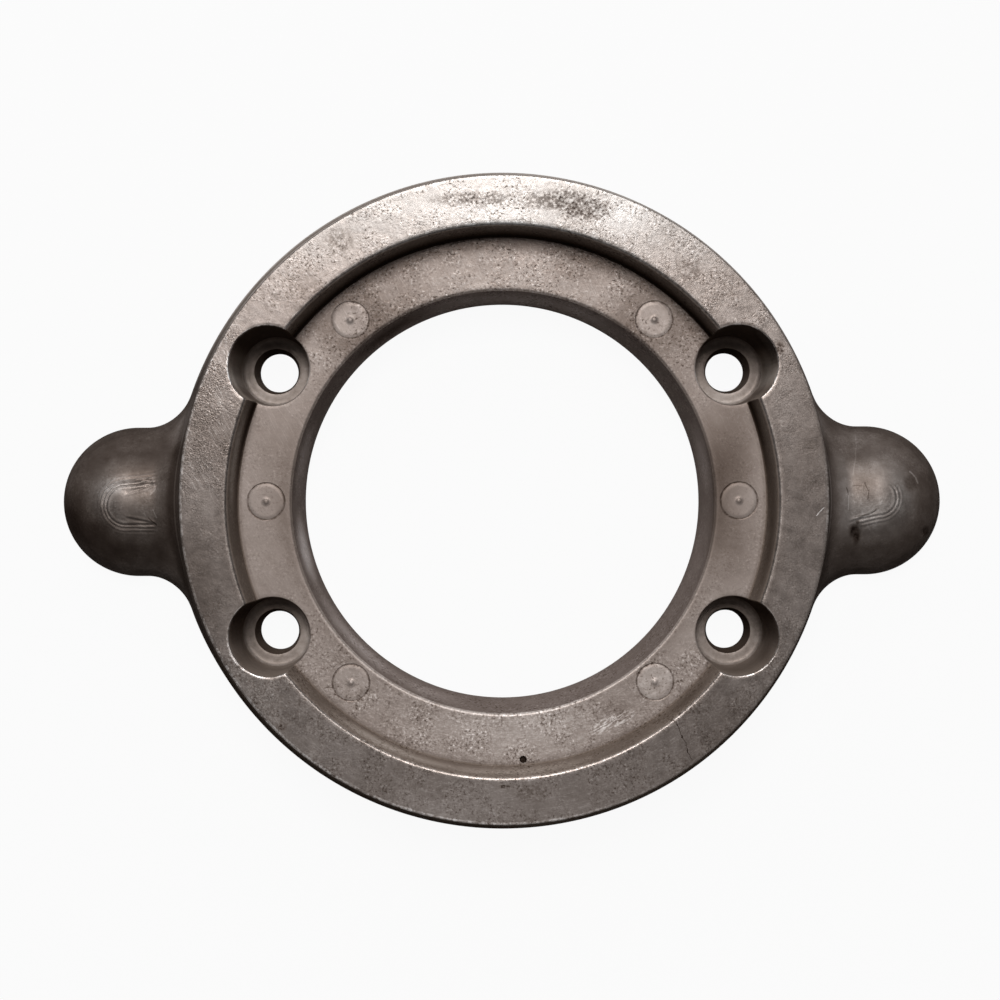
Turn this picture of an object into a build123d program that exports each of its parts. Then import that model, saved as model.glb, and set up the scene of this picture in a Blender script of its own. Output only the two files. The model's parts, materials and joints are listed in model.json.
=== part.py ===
from build123d import *
from math import cos, radians, sin, tan
import os

# Ring: heights are above the flat back, radii are from the bore axis
ring_height = 20.0
ledge_height = 12.4
back_radius = 61.6
wall_draft = 12.1
bore_radius = 36.8
bore_land = 2.5
bore_draft = 7.5
step_foot_radius = 47.9
step_draft = 7.5
step_edge_round = 0.5
step_foot_round = 0.6
rim_edge_break = 0.4
ledge_edge_break = 0.6

# Screw holes, on a circle and mirrored about both middle planes
hole_circle = 96.0
hole_angle = 30.0
hole_radius = 3.6
hole_land = 1.5
hole_mouth_radius = 4.2
seat_height = 5.0
seat_radius = 6.4
seat_draft = 2.2
seat_foot_break = 0.5

# Ears: a level half-round ridge that ends in a round nose, and a blend that climbs the wall almost to the rim
nose_x = 68.05
ear_radius = 13.93
ear_sink = 0.9
ear_root_x = 52.0
blend_below_rim = 1.8

# Ejector-pin marks on the ledge
mark_circle = 85.5
mark_radius = 3.35
mark_depth = 0.15
mark_spread = 50.0

face_radius = back_radius - ring_height * tan(radians(wall_draft))
step_top_radius = step_foot_radius + (ring_height - ledge_height) * tan(radians(step_draft))
bore_mouth_radius = bore_radius + (ledge_height - bore_land) * tan(radians(bore_draft))
seat_mouth_radius = seat_radius + (ring_height - seat_height) * tan(radians(seat_draft))
wall_above_ear = (ring_height - rim_edge_break - blend_below_rim - ear_radius + ear_sink) / cos(radians(wall_draft))
ear_blend = wall_above_ear * tan(radians(45 + wall_draft / 2))
over = 1.0


def softened(face, soften, corners):
    # each corner is a place in the section and the size of the round or the flat that softens it
    for (across, height), size in corners:
        corner = face.vertices().sort_by_distance(Vertex(0, across, height))[0]
        face = soften(corner, size)
    return face


def ring():
    # the section runs from the back of the bore round to the back of the outer wall
    outline = Polyline(
        (0, bore_radius, 0),
        (0, bore_radius, bore_land),
        (0, bore_mouth_radius, ledge_height),
        (0, step_foot_radius, ledge_height),
        (0, step_top_radius, ring_height),
        (0, face_radius, ring_height),
        (0, back_radius, 0),
        close=True,
    )
    rounds = [
        ((step_foot_radius, ledge_height), step_foot_round),
        ((step_top_radius, ring_height), step_edge_round),
    ]
    flats = [
        ((bore_mouth_radius, ledge_height), ledge_edge_break),
        ((face_radius, ring_height), rim_edge_break),
    ]
    section = softened(make_face(outline), fillet, rounds)
    return revolve(softened(section, chamfer, flats), Axis.Z)


def ear():
    # the round is sunk a little below the back, so its sides lean inwards like the rest of the casting
    length = nose_x - ear_root_x
    ridge = Pos(ear_root_x + length / 2, 0, -ear_sink) * Rot(0, 90, 0) * Cylinder(ear_radius, length)
    nose = Pos(nose_x, 0, -ear_sink) * Sphere(ear_radius)
    room = Pos(nose_x, 0, 0) * Box(
        4 * ear_radius, 4 * ear_radius, 2 * ear_radius, align=(Align.CENTER, Align.CENTER, Align.MIN)
    )
    return (ridge + nose) & room


def is_joint(edge):
    # the line where an ear leaves the ring's outer wall: it climbs from the back almost to the ridge
    box = edge.bounding_box()
    middle = abs(edge.center().X)
    return box.size.Z > ear_radius / 3 and face_radius < middle < back_radius and box.max.Z < ear_radius


def body():
    right = ear()
    joined = ring() + right + mirror(right, Plane.YZ)
    return fillet(joined.edges().filter_by(is_joint), ear_blend)


def screw_hole():
    # from the back: a short straight land, a widening hole, a flat seat and a drafted counterbore
    outline = Polyline(
        (0, 0, -over),
        (0, hole_radius, -over),
        (0, hole_radius, hole_land),
        (0, hole_mouth_radius, seat_height),
        (0, seat_radius, seat_height),
        (0, seat_mouth_radius, ring_height),
        (0, seat_mouth_radius, ring_height + over),
        (0, 0, ring_height + over),
        close=True,
    )
    section = softened(make_face(outline), chamfer, [((seat_radius, seat_height), seat_foot_break)])
    return revolve(section, Axis.Z)


def around(shape, circle, angles):
    spots = [Pos(circle / 2 * cos(radians(a)), circle / 2 * sin(radians(a)), 0) for a in angles]
    return [spot * shape for spot in spots]


def pin_mark():
    depth = mark_depth + over
    return Pos(0, 0, ledge_height - mark_depth + depth / 2) * Cylinder(mark_radius, depth)


def anode():
    hole_angles = [hole_angle, 180 - hole_angle, 180 + hole_angle, -hole_angle]
    mark_angles = [0, mark_spread, 180 - mark_spread, 180, 180 + mark_spread, -mark_spread]
    cutters = around(screw_hole(), hole_circle, hole_angles) + around(pin_mark(), mark_circle, mark_angles)
    return body() - cutters


os.makedirs("parts", exist_ok=True)
export_step(anode(), "parts/anode_ring.step")
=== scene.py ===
import json
from math import atan2, ceil, radians

import bmesh
import bpy
import numpy as np
from mathutils import Matrix, Vector


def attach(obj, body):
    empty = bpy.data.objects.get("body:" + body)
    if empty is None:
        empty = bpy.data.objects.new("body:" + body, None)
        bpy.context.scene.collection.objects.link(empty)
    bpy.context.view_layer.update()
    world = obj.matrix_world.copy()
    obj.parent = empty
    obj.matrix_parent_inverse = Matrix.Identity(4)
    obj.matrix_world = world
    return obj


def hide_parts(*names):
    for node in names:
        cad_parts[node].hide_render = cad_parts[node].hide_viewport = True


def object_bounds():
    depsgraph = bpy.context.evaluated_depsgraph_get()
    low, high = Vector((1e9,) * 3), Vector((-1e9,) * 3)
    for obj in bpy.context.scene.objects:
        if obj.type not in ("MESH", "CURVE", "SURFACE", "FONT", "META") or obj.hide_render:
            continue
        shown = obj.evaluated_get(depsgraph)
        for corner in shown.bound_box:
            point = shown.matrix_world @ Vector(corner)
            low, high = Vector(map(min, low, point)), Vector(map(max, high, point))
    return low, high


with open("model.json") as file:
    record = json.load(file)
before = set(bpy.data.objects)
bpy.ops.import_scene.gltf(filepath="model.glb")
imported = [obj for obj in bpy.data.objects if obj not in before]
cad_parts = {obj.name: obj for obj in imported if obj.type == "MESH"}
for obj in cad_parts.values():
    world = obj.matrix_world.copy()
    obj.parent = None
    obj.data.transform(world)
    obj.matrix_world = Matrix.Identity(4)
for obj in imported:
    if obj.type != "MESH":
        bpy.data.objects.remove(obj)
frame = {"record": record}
cadLow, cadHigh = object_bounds()
mounts = {m["name"]: m["dims"] for m in frame["record"]["mounts"]}
perMetre = 1000.0  # shapes are worked out in millimetres, and the mesh is in metres
print("frame loaded", [round(v * perMetre, 2) for v in cadHigh])

# Casting: one closed surface, in grids of rows and columns that share their edges

ring = {
    "height": cadHigh.z * perMetre,
    "backRadius": cadHigh.y * perMetre,
    "boreRadius": mounts["carrier_bore"]["r_mm"],
    "boreLand": mounts["carrier_bore"]["length_mm"],
    "boreMouth": 38.3,
    "ledgeHeight": 12.4,
    "stepFoot": 47.9,
    "stepTop": 48.7,
    "wallDraft": radians(11.9),
    "ledgeEdgeRound": 0.55,
    "stepFootRound": 0.3,
    "stepEdgeRound": 0.7,
    "rimEdgeRound": 0.18,
    "rimShift": (0.25, 0.2),  # the outer wall's top edge sits a little off the bore's axis
    "mouthShift": (0.12, -0.17),  # and so does the bore's mouth
    "footShift": (0.12, 0.17),  # the back's edge is worn this far in on the side that faces away from +X +Y
    "rowGap": 0.6,  # widest gap between rows on the flat rings
    "wallRows": 12,
    "plainColumn": radians(1.15),
}

seat = {
    "circle": np.hypot(mounts["screw_holes"]["spacing_x_mm"], mounts["screw_holes"]["spacing_y_mm"]) / 2,
    "angle": atan2(mounts["screw_holes"]["spacing_y_mm"], mounts["screw_holes"]["spacing_x_mm"]),
    "holeRadius": mounts["screw_holes"]["hole_r_mm"],
    "holeLand": 1.5,
    "holeMouth": 4.2,
    "height": 5.0,
    "radius": 6.4,
    "draft": radians(2.2),
    "footRound": 0.7,
    "lip": 0.22,
}

mark = {
    "circle": 42.75,
    "spread": radians(50.0),
    "radius": 3.35,
    "edge": 0.2,  # the flat between the groove and the ring's own rows
    "groove": 0.07,
    "sink": 0.03,
    "pip": 0.16,
}

# a blow hole in the ledge's corner
pit = {"circle": 46.85, "angle": radians(274.4), "radius": 0.7, "depth": 0.95}

ear = {
    "reach": cadHigh.x * perMetre,
    "radius": 13.93,
    "sink": 0.9,
    "blend": 6.0,
    "topBlend": 4.2,  # the blend is tighter where the ridge meets the wall
    "blendHeights": (4.0, 12.5),  # and it tightens between these heights
    "ridgeFoot": 62.3,  # where the legs of the grid begin on the ridge line
    "innerLevels": (0.0, 0.55, 1.05),  # the columns' distances from the ridge line: the first ones,
    "fineLevels": (1.4, 5.8, 0.135),  # the close ones among the mill's steps, as start, end and gap,
    "columnsPerRadian": 36,  # and the even ones past them
    "bunching": 0.273,  # how much closer together the columns near the ridge line meet the rim
    "calmLevel": 11.0,  # past this distance the mill's shift and tilt don't move the columns
    "legRows": 22,
    "noseRows": 40,
    "tracedRows": 241,  # rows that trace the wall above the ear before they are spaced evenly
    "stepWidth": 0.26,
    "stepStart": (62.5, 63.2),  # the mill's steps come up between these places along the ear
}

# the mill's steps on each ear: their distances from the ridge line, a tread's width, how strong each one is
# on its +Y and -Y side, where across the ear that changes, how far the pattern sits off the middle, how it
# tilts and widens away from the nose, and one more step that stops short of the nose
millMarks = {
    "right": {
        "steps": [3.05, 3.73, 4.4],
        "gap": 0.64,
        "plus": [0.0, 0.0, 0.0],
        "minus": [0.85, 0.8, 0.4],
        "turn": (1.2, 2.8),
        "shift": 0.5,
        "tilt": 0.11,
        "widen": 0.035,
        "inner": (2.1, 0.3),
        "innerStart": 67.7,
        "innerPlus": 0.0,
        "innerMinus": 0.6,
    },
    "left": {
        "steps": [3.35, 4.0, 4.6, 5.2],
        "gap": 0.62,
        "plus": [1.6, 1.5, 1.1, 0.5],
        "minus": [1.1, 1.0, 0.8, 0.2],
        "turn": (-0.8, 0.8),
        "shift": -0.68,
        "tilt": -0.05,
        "widen": 0.012,
        "inner": (2.0, 0.25),
        "innerStart": 68.1,
        "innerPlus": 1.6,
        "innerMinus": 1.0,
        "paintedCrestLightAndShade": [0.3, 0.35, 0.35, 0.3],  # how bright the painted highlight on each step's edge is
    },
}

# dents on the ears: place, half sizes along x and y, and depth
dents = {
    "right": [
        ((64.0, -5.6), (1.2, 2.1), 0.55),
        ((74.2, 3.1), (1.8, 2.0), 0.16),
        ((77.2, -5.7), (0.7, 0.9), 0.3),
    ],
    "left": [
        ((79.0, 0.0), (0.35, 0.6), 0.1),
        ((66.2, 13.8), (0.5, 0.4), 0.3),
    ],
}


def smooth(value, low, high):
    # 0 below low, 1 above high and an even S-curve between them
    t = np.clip((value - low) / (high - low), 0, 1)
    return t * t * (3 - 2 * t)


def stations(start, end, gap, kept=()):
    # places from start to end, no further apart than gap, that pass through each kept place
    stops = [start] + sorted(k for k in kept if start < k < end) + [end]
    runs = [np.linspace(a, b, max(ceil((b - a) / gap), 1) + 1)[:-1] for a, b in zip(stops, stops[1:])]
    return np.concatenate(runs + [[end]])


def cornerArc(before, corner, after, radius, steps):
    # a round of the given radius that touches both runs of a corner: points at even angles about its centre
    a, c, b = np.array(before, float), np.array(corner, float), np.array(after, float)
    u, v = (a - c) / np.linalg.norm(a - c), (b - c) / np.linalg.norm(b - c)
    half = np.arccos(u @ v) / 2
    centre = c + (u + v) / np.linalg.norm(u + v) * radius / np.sin(half)
    first, last = c + u * radius / np.tan(half) - centre, c + v * radius / np.tan(half) - centre
    turn = np.pi - 2 * half
    t = np.linspace(0, 1, steps + 1)[:, None]
    return centre + (first * np.sin((1 - t) * turn) + last * np.sin(t * turn)) / np.sin(turn)


def circleStops(centre, radius, side, angles=range(0, 43, 6)):
    # rows that crowd towards the place where a circle is first met, so that its end is drawn round
    return [centre + side * radius * np.cos(radians(a)) for a in angles]


def seatRadiusAt(height):
    # counterbore: a cone that widens with height
    return seat["radius"] + (height - seat["height"]) * np.tan(seat["draft"])


def ringSection():
    # the section as one path: up the bore, over the ledge, up the step, over the rim to the top of the wall
    r, top, ledge = ring, ring["height"], ring["ledgeHeight"]
    corners = [
        (r["boreRadius"], 0),
        (r["boreRadius"], r["boreLand"]),
        (r["boreMouth"], ledge),
        (r["stepFoot"], ledge),
        (r["stepTop"], top),
        (r["backRadius"] - top * np.tan(r["wallDraft"]), top),
        (r["backRadius"], 0),
    ]
    ledgeEdge = cornerArc(*corners[1:4], r["ledgeEdgeRound"], 5)
    stepFoot = cornerArc(*corners[2:5], r["stepFootRound"], 5)
    stepEdge = cornerArc(*corners[3:6], r["stepEdgeRound"], 5)
    rimEdge = cornerArc(*corners[4:7], r["rimEdgeRound"], 4)
    bore = np.linspace(corners[1], ledgeEdge[0], 8)[:-1]
    step = np.linspace(stepFoot[-1], stepEdge[0], 8)[1:-1]
    kept = circleStops(seat["circle"], seatRadiusAt(ledge) + seat["lip"], -1)
    for side in (-1, 1):
        kept += circleStops(mark["circle"], mark["radius"] + mark["edge"], side)
        kept += circleStops(pit["circle"], pit["radius"], side, range(0, 73, 36))
    ledgeRun = stations(ledgeEdge[-1][0], stepFoot[0][0], r["rowGap"], kept)[1:-1]
    kept = circleStops(seat["circle"], seatRadiusAt(top) + seat["lip"], 1)
    rimRun = stations(stepEdge[-1][0], rimEdge[0][0], r["rowGap"], kept)[1:-1]
    flat = lambda run, height: np.column_stack([run, np.full(len(run), height)])
    return np.concatenate([
        corners[:1], bore, ledgeEdge, flat(ledgeRun, ledge),
        stepFoot, step, stepEdge, flat(rimRun, top), rimEdge,
    ])


def openAngle(radius, centre, circle):
    # half the angle that a circle with its centre that far out takes out of a ring of this radius, or 0
    cosine = (radius**2 + centre**2 - circle**2) / (2 * radius * centre)
    angle = np.arccos(np.clip(cosine, -1, 1))
    return np.where(angle < 0.00001, 0, angle)


section = ringSection()
sectionR, sectionZ = section[:, 0], section[:, 1]
onLedge = np.abs(sectionZ - ring["ledgeHeight"]) <= 0.01
aboveBore = sectionZ >= ring["ledgeHeight"] - 0.01
seatMouth = seatRadiusAt(sectionZ) + seat["lip"]
seatCut = np.where(aboveBore, openAngle(sectionR, seat["circle"], seatMouth), 0)
markCut = np.where(onLedge, openAngle(sectionR, mark["circle"], mark["radius"] + mark["edge"]), 0)
pitCut = np.where(onLedge, openAngle(sectionR, pit["circle"], pit["radius"]), 0)
wallTop = section[-1]

noseRadius = float(np.sqrt(ear["radius"] ** 2 - ear["sink"] ** 2))  # at the flat back
noseX = ear["reach"] - noseRadius
blendEnd = float(np.sqrt((ear["radius"] + ear["blend"]) ** 2 - ear["sink"] ** 2))
earSide = float(np.arcsin(blendEnd / ring["backRadius"]))


def earDistance(x, y, z, ridge):
    # round union of the ring's cone and the ear's half-round: an arc of the blend's radius joins the two
    cone = (np.hypot(x, y) - ring["backRadius"] + z * np.tan(ring["wallDraft"])) * np.cos(ring["wallDraft"])
    dome = np.hypot(ridge, z + ear["sink"]) - ear["radius"]
    blend = ear["blend"] - (ear["blend"] - ear["topBlend"]) * smooth(z, *ear["blendHeights"])
    near = np.hypot(np.maximum(blend - cone, 0), np.maximum(blend - dome, 0))
    return np.maximum(blend, np.minimum(cone, dome)) - near


def earRidge(x, y):
    # distance from the ridge line, which is level and ends at the centre of the nose
    return np.hypot(np.maximum(x - noseX, 0), y)


def millSteps(x, y, marks):
    # a smooth slope turned into treads and risers: the distance from the ridge line is held back before each
    # step and made up past it, by the share that the step has on that side
    behind = np.maximum(noseX - x, 0)
    across = y - marks["shift"] + marks["tilt"] * behind
    away = earRidge(x, across) / (1 + marks["widen"] * behind)
    above = smooth(across, *marks["turn"])
    inner = marks["inner"][0] + (marks["inner"][1] - marks["widen"] * marks["inner"][0]) * behind
    stops = 1 - smooth(x, marks["innerStart"] - 0.4, marks["innerStart"])
    steps = [(*step, 1.0) for step in zip(marks["steps"], marks["plus"], marks["minus"])]
    steps.append((inner, marks["innerPlus"], marks["innerMinus"], stops))
    change = np.zeros_like(x)
    for at, plus, minus, share in steps:
        jump = smooth(away - at, -ear["stepWidth"] / 2, ear["stepWidth"] / 2) - 0.5
        ramp = np.clip((away - at) / marks["gap"], -1, 1) / 2
        change += (jump - ramp) * marks["gap"] * share * (minus + (plus - minus) * above)
    return change * smooth(x, *ear["stepStart"])


def dentDepth(x, y, places):
    # smooth bowls: full depth in the middle of each place and nothing past its half sizes
    depth = np.zeros_like(x)
    for (atX, atY), (halfX, halfY), deep in places:
        depth += deep * (1 - smooth(np.hypot((x - atX) / halfX, (y - atY) / halfY), 0.25, 1.0))
    return depth


def halved(low, high, isPast):
    # the place between low and high where a test turns true, found by halving the gap again and again
    for _ in range(34):
        middle = (low + high) / 2
        past = isPast(middle)
        low, high = np.where(past, low, middle), np.where(past, middle, high)
    return (low + high) / 2


def solveHeight(x, y, ridge):
    # the height where the round union is zero: it grows with height everywhere
    outside = lambda z: earDistance(x, y, z, ridge) > 0
    return halved(np.zeros_like(x), np.full_like(x, ring["height"]), outside)


def outlineY(x):
    # the ear's outline at the flat back
    outside = lambda y: earDistance(x, y, 0.0, earRidge(x, y)) > 0
    return halved(np.full_like(x, 5.0), np.full_like(x, 30.0), outside)


def earLevels():
    # distances from the ridge line: close together among the mill's steps, even along the round past them
    fine = np.arange(*ear["fineLevels"])
    start = np.arcsin((fine[-1] + 0.25) / ear["radius"])
    end = np.arcsin(noseRadius / ear["radius"])
    outer = np.sin(np.linspace(start, end, int((end - start) * ear["columnsPerRadian"]))) * ear["radius"]
    return np.concatenate([ear["innerLevels"], fine, outer])


levels = earLevels()
share = levels / noseRadius
earColumns = earSide * ((1 - ear["bunching"]) * share + ear["bunching"] * share**3)  # by angle, at the rim


def evenRows(points, count):
    # the same columns with rows at even distances along each, looked up by the column's length so far
    gaps = np.linalg.norm(np.diff(points, axis=0), axis=2)
    run = np.concatenate([np.zeros((1, points.shape[1])), np.cumsum(gaps, 0)])
    run = run / run[-1]
    wanted = np.linspace(0, 1, count + 1)
    after = np.clip((run[None] < wanted[:, None, None]).sum(1), 1, len(run) - 1)
    before = after - 1
    low, high = np.take_along_axis(run, before, 0), np.take_along_axis(run, after, 0)
    t = ((wanted[:, None] - low) / (high - low))[..., None]
    at = lambda index: np.take_along_axis(points, index[..., None], 0)
    return at(before) * (1 - t) + at(after) * t


def earGrid(marks, dented, facing):
    # rows go out from the rim, columns follow the levels: down the wall, along the ear and round its nose;
    # the left ear is worked out on the right as well and turned half round later, so it faces -1
    steady = 1 - smooth(levels, ear["fineLevels"][1], ear["calmLevel"])
    footR = ear["ridgeFoot"] - (ear["ridgeFoot"] - ring["backRadius"]) * share**1.5
    footX, footY = footR * np.cos(earColumns), footR * np.sin(earColumns)
    s = np.linspace(1, 0, ear["legRows"] + 1)[:, None]
    lastX = noseX - s[:, 0] * (noseX - footX[-1])
    flare = ((outlineY(lastX) - noseRadius) / (outlineY(lastX[:1]) - noseRadius))[:, None]
    legX = noseX - s * (noseX - footX)
    legY = levels * (1 + marks["widen"] * (noseX - legX) * steady) + (footY - levels) * flare
    turn = np.linspace(np.pi / 2, 0, ear["noseRows"] + 1)[1:, None]
    outX = np.concatenate([legX, noseX + levels * np.cos(turn)])
    outY = np.concatenate([legY, levels * np.sin(turn)])
    shift = (marks["shift"] - marks["tilt"] * np.maximum(noseX - outX, 0)) * steady * facing
    down = np.linspace(0, 1, ear["tracedRows"])[:, None]
    sides = []
    for side in (-1, 1):
        x, y = outX, side * outY + shift
        rimX, rimY = wallTop[0] * np.cos(earColumns), side * wallTop[0] * np.sin(earColumns)
        wallX, wallY = rimX + (x[0] - rimX) * down, rimY + (y[0] - rimY) * down
        wallZ = solveHeight(wallX, wallY, earRidge(wallX, wallY))
        wallZ[0] = wallTop[1]
        wall = evenRows(np.stack([wallX, wallY, wallZ], -1), ring["wallRows"])
        z = solveHeight(x, y, np.maximum(earRidge(x, y) + millSteps(x, y * facing, marks), 0))
        z -= dentDepth(x, y * facing, dented)
        z[:, -1] = 0
        grid = np.concatenate([wall[:-1], np.stack([x, y, z], -1)])
        sides.append(grid[:, ::-1] if side < 0 else grid[:, 1:])
    return np.concatenate(sides, 1)


def aroundZ(grid, angle):
    # the grid turned about the bore's axis
    c, s = np.cos(angle), np.sin(angle)
    x, y = grid[..., 0], grid[..., 1]
    return np.stack([x * c - y * s, x * s + y * c, grid[..., 2]], -1)


def polar(radius, angle, height, centre=0.0):
    # points at a distance and an angle from a centre on the X axis, and at a height
    x, y = radius * np.cos(angle) + centre, radius * np.sin(angle)
    return np.stack(np.broadcast_arrays(x, y, height), -1)


def ringSector(start, end, startCut, endCut, columns):
    # rows are the section's points; columns are shares of the angle from one feature's edge to the next one's
    low, high = start + startCut[:, None], end - endCut[:, None]
    return polar(sectionR[:, None], low + (high - low) * columns, sectionZ[:, None])


def plainWall(angles):
    # rows go straight down the cone from the rim's edge to the back
    t = np.linspace(0, 1, ring["wallRows"] + 1)[:, None]
    return polar(wallTop[0] + (ring["backRadius"] - wallTop[0]) * t, angles, wallTop[1] * (1 - t))


def edgeLoop(cut, centre):
    # the points that a feature shares with the ring's rows, once round it, seen from its own centre
    met = np.flatnonzero(cut > 0)
    rows = np.arange(met[0] - 1, met[-1] + 2)
    rows = np.concatenate([rows, rows[-2::-1]])
    sign = np.where(np.arange(len(rows)) < len(rows) // 2, 1, -1)
    angle = cut[rows] * sign
    x, y = sectionR[rows] * np.cos(angle) - centre, sectionR[rows] * np.sin(angle)
    return x, y, sectionZ[rows], np.unwrap(np.arctan2(y, x))


def sunkGrid(edge, circle, radius, height):
    # rows round a feature's own centre; the first row is the edge that it shares with the ring
    x, y, _, turn = edge
    grid = polar(radius, turn, height, circle)
    grid[0, :, 0], grid[0, :, 1] = x + circle, y
    return grid


def seatGrid():
    # from the mouth inwards: a small round, the counterbore's cone, the seat, the hole's cone and its land
    edge = edgeLoop(seatCut, seat["circle"])
    x, y, mouthZ, _ = edge
    lip, foot, floor, hole = seat["lip"], seat["footRound"], seat["height"], seat["holeMouth"]
    quarter = np.radians([30, 60, 90])
    rows = [(np.hypot(x, y), mouthZ)]
    for a in quarter:
        rows.append((seatRadiusAt(mouthZ - lip) + lip * (1 - np.sin(a)), mouthZ - lip * (1 - np.cos(a))))
    for t in np.linspace(0, 1, 10)[1:]:
        height = (mouthZ - lip) * (1 - t) + (floor + foot) * t
        rows.append((seatRadiusAt(height), height))
    for a in quarter:
        rows.append((seat["radius"] - foot * (1 - np.cos(a)), floor + foot * (1 - np.sin(a))))
    for radius in np.linspace(seat["radius"] - foot, hole + 0.15, 4)[1:]:
        rows.append((radius, floor))
    rows += [(hole + 0.03, floor - 0.04), (hole - 0.02, floor - 0.15)]
    rows.extend(np.linspace((hole - 0.1, floor - 0.6), (seat["holeRadius"], seat["holeLand"]), 4))
    rows.append((seat["holeRadius"], 0.0))
    radius = np.stack([np.broadcast_to(r, x.shape) for r, _ in rows])
    height = np.stack([np.broadcast_to(h, x.shape) for _, h in rows])
    return sunkGrid(edge, seat["circle"], radius, height)


def markGrid():
    # ejector-pin mark: a fine groove round a slightly sunk disc with a small pip at its centre
    r, groove, sink, pip = mark["radius"], -mark["groove"], -mark["sink"], mark["pip"]
    rows = [
        (r + mark["edge"], 0), (r + 0.12, 0), (r + 0.03, groove), (r - 0.06, groove), (r - 0.16, sink),
        (2.5, sink), (1.7, sink), (1.0, sink), (0.55, sink),
        (0.42, pip - 0.1), (0.28, pip - 0.03), (0.13, pip), (0, pip),
    ]
    radius, lift = np.array(rows, float).T[:, :, None]
    return sunkGrid(edgeLoop(markCut, mark["circle"]), mark["circle"], radius, ring["ledgeHeight"] + lift)


def pitGrid():
    # blow hole: a rounded rim that falls into a bowl, as shares of its radius and of its depth
    radius = np.array([1.0, 0.93, 0.86, 0.8, 0.72, 0.6, 0.42, 0.2, 0.0])[:, None] * pit["radius"]
    depth = np.array([0.0, 0.06, 0.22, 0.45, 0.68, 0.85, 0.95, 1.0, 1.0])[:, None] * pit["depth"]
    return sunkGrid(edgeLoop(pitCut, pit["circle"]), pit["circle"], radius, ring["ledgeHeight"] - depth)


def shiftEdges(vertices):
    # moves edges sideways: the outer wall's top, fully at the rim's edge and not at all at the back or
    # further in; the bore's mouth, fully at its edge and not at all at its land or out on the ledge; and the
    # back's edge on one side, away from the ears
    radius = np.hypot(vertices[:, 0], vertices[:, 1])
    height = vertices[:, 2]
    outer = smooth(radius, 51.0, 57.0) * (1 - smooth(radius, 57.8, 61.0))
    outer = outer * smooth(height, 4.0, ring["height"])
    inner = (1 - smooth(radius, 38.9, 39.3)) * smooth(height, ring["boreLand"], ring["ledgeHeight"] - 1.0)
    facing = -(vertices[:, :2] @ ring["footShift"]) / np.linalg.norm(ring["footShift"])
    worn = smooth(radius, 59.0, 61.4) * smooth(facing, 15.0, 50.0) * (1 - smooth(height, 0.0, 14.0))
    worn = worn * smooth(np.abs(vertices[:, 1]), 20.0, 35.0)
    for share, shift in ((worn, "footShift"), (outer, "rimShift"), (inner, "mouthShift")):
        vertices[:, :2] += share[:, None] * ring[shift]


def gridFaces(grid):
    # vertices of a grid and the quads between its rows and columns
    rows, columns = grid.shape[:2]
    index = np.arange(rows * columns).reshape(rows, columns)
    quads = np.stack([index[:-1, :-1], index[1:, :-1], index[1:, 1:], index[:-1, 1:]], -1)
    return grid.reshape(-1, 3), quads.reshape(-1, 4)


def buildCasting():
    # features lie round the ring by angle, each with what it cuts out of the rows and the grid that fills it
    half = np.pi
    aMark, aSeat = (markCut, markGrid()), (seatCut, seatGrid())
    features = [(pit["angle"], pitCut, pitGrid())]
    for side in (0.0, half):
        features.append((side, *aMark))
        for angle, feature in ((seat["angle"], aSeat), (mark["spread"], aMark)):
            features += [(side + angle, *feature), (side + half - angle, *feature)]
    features.sort(key=lambda feature: feature[0])
    toSeat = earColumns / seat["angle"]
    rest = np.linspace(toSeat[-1], 1, ceil((seat["angle"] - earSide) / ring["plainColumn"]) + 1)[1:]
    nextToEar = np.concatenate([toSeat, rest])
    sectors, walls = [], []
    for (start, startCut, _), (end, endCut, _) in zip(features, features[1:] + [(2 * half, *aMark)]):
        onEar, beforeEar = abs(np.sin(start)) < 1e-6, abs(np.sin(end)) < 1e-6
        columns = np.linspace(0, 1, ceil((end - start) / ring["plainColumn"]) + 1)
        if onEar:
            columns = nextToEar
        elif beforeEar:
            columns = 1 - nextToEar[::-1]
        sectors.append(ringSector(start, end, startCut, endCut, columns))
        angles = start + (end - start) * columns
        if onEar:
            angles = angles[len(levels) - 1:]  # the wall above an ear is in the ear's own grid
        elif beforeEar:
            angles = angles[:1 - len(levels)]
        walls.append(plainWall(angles))
    ears = [
        earGrid(millMarks["right"], dents["right"], 1),
        aroundZ(earGrid(millMarks["left"], dents["left"], -1), half),
    ]
    sunk = [aroundZ(grid, angle) for angle, _, grid in features]
    vertices, faces, base = [], [], 0
    for grid in sectors + walls + ears + sunk:
        points, quads = gridFaces(grid)
        vertices.append(points)
        faces.append(quads + base)
        base += len(points)
    vertices, faces = np.concatenate(vertices), np.concatenate(faces)
    shiftEdges(vertices)
    print("vertices", len(vertices), "faces", len(faces))
    return vertices, faces


def backFace(bm):
    # the flat back fills the open edges at height 0: the outline, the bore and the four holes
    edges = [e for e in bm.edges if e.is_boundary]
    bmesh.ops.triangle_fill(bm, use_beauty=True, use_dissolve=False, edges=edges, normal=(0, 0, -1))


def meshFrom(name, vertices, faces):
    mesh = bpy.data.meshes.new(name)
    mesh.from_pydata((vertices / perMetre).tolist(), [], faces.tolist())
    bm = bmesh.new()
    bm.from_mesh(mesh)
    bmesh.ops.remove_doubles(bm, verts=bm.verts, dist=0.000004)
    backFace(bm)
    bmesh.ops.recalc_face_normals(bm, faces=bm.faces)  # every face outwards, the filled back too
    loose = [e for e in bm.edges if len(e.link_faces) != 2]
    print("open or doubled edges", len(loose), "volume", round(bm.calc_volume(signed=True) * perMetre**3))
    bm.to_mesh(mesh)
    bm.free()
    mesh.shade_smooth()
    mesh.set_sharp_from_angle(angle=radians(40))
    piece = bpy.data.objects.new(name, mesh)
    bpy.context.scene.collection.objects.link(piece)
    return piece


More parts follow.
